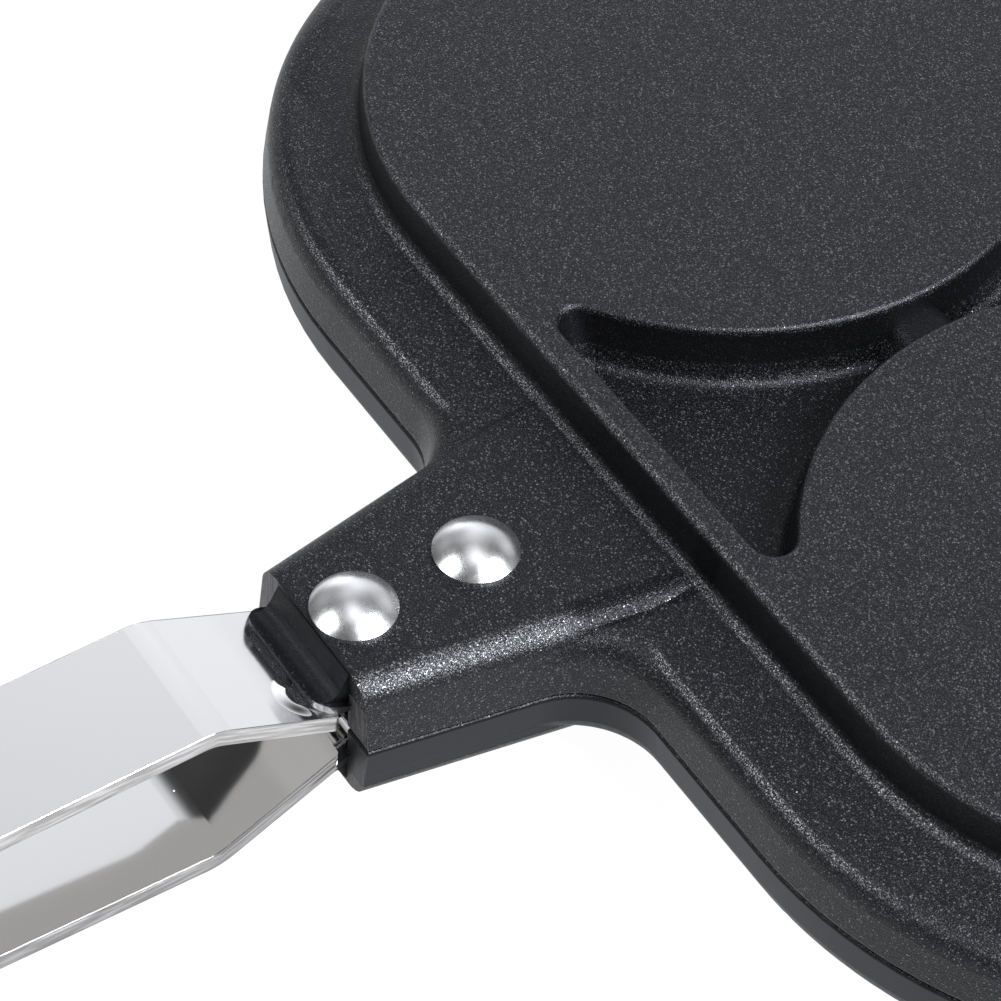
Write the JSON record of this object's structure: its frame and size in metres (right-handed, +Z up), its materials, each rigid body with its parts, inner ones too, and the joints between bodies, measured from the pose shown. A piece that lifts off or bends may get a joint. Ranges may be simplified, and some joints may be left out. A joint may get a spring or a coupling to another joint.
{
  "type": "double-sided pancake pan",
  "caption": "Hinged double-sided pancake pan: two cast plates of round moulds, each with a riveted steel strip and a grip.",
  "frame": {"origin": "centre of the four flat mould backs that the closed pan rests on", "axes": "+Z up out of the lower plate through the upper plate, -Y towards the grips, +X to the right seen from the grips"},
  "size_m": [0.1864, 0.4223, 0.029],
  "materials": {
    "coated_casting": "charcoal non-stick coat with fine light specks, satin, on cast aluminium",
    "polished_strip": "polished stainless flat bar",
    "rivet_steel": "polished stainless, domed",
    "phenolic": "moulded phenolic, fine satin grain",
    "fastener_steel": "plain turned steel",
    "insert_brass": "turned brass",
    "loop_wire": "polished stainless wire"
  },
  "bodies": {
    "lower": {"lower_plate": "coated_casting", "lower_handle_strip": "polished_strip", "lower_rear_rivet": "rivet_steel", "lower_front_rivet": "rivet_steel", "lower_grip": "phenolic", "lower_front_screw": "fastener_steel", "lower_rear_screw": "fastener_steel", "lower_front_insert": "insert_brass", "lower_rear_insert": "insert_brass", "left_hinge_pin": "fastener_steel", "right_hinge_pin": "fastener_steel"},
    "upper": {"upper_plate": "coated_casting", "upper_handle_strip": "polished_strip", "upper_rear_rivet": "rivet_steel", "upper_front_rivet": "rivet_steel", "upper_grip": "phenolic", "upper_front_screw": "fastener_steel", "upper_rear_screw": "fastener_steel", "upper_front_insert": "insert_brass", "upper_rear_insert": "insert_brass"},
    "loop": {"closing_loop": "loop_wire"}
  },
  "joints": [
    {"name": "pan_hinge", "type": "hinge", "parent": "lower", "child": "upper", "pos_m": [0, 0.09945, 0.0145], "axis": [-1, 0, 0], "range_deg": [0, 180]},
    {"name": "loop_swing", "type": "hinge", "parent": "lower", "child": "loop", "pos_m": [0, -0.29515, 0.008], "axis": [-1, 0, 0], "range_deg": [-15, 90]}
  ]
}
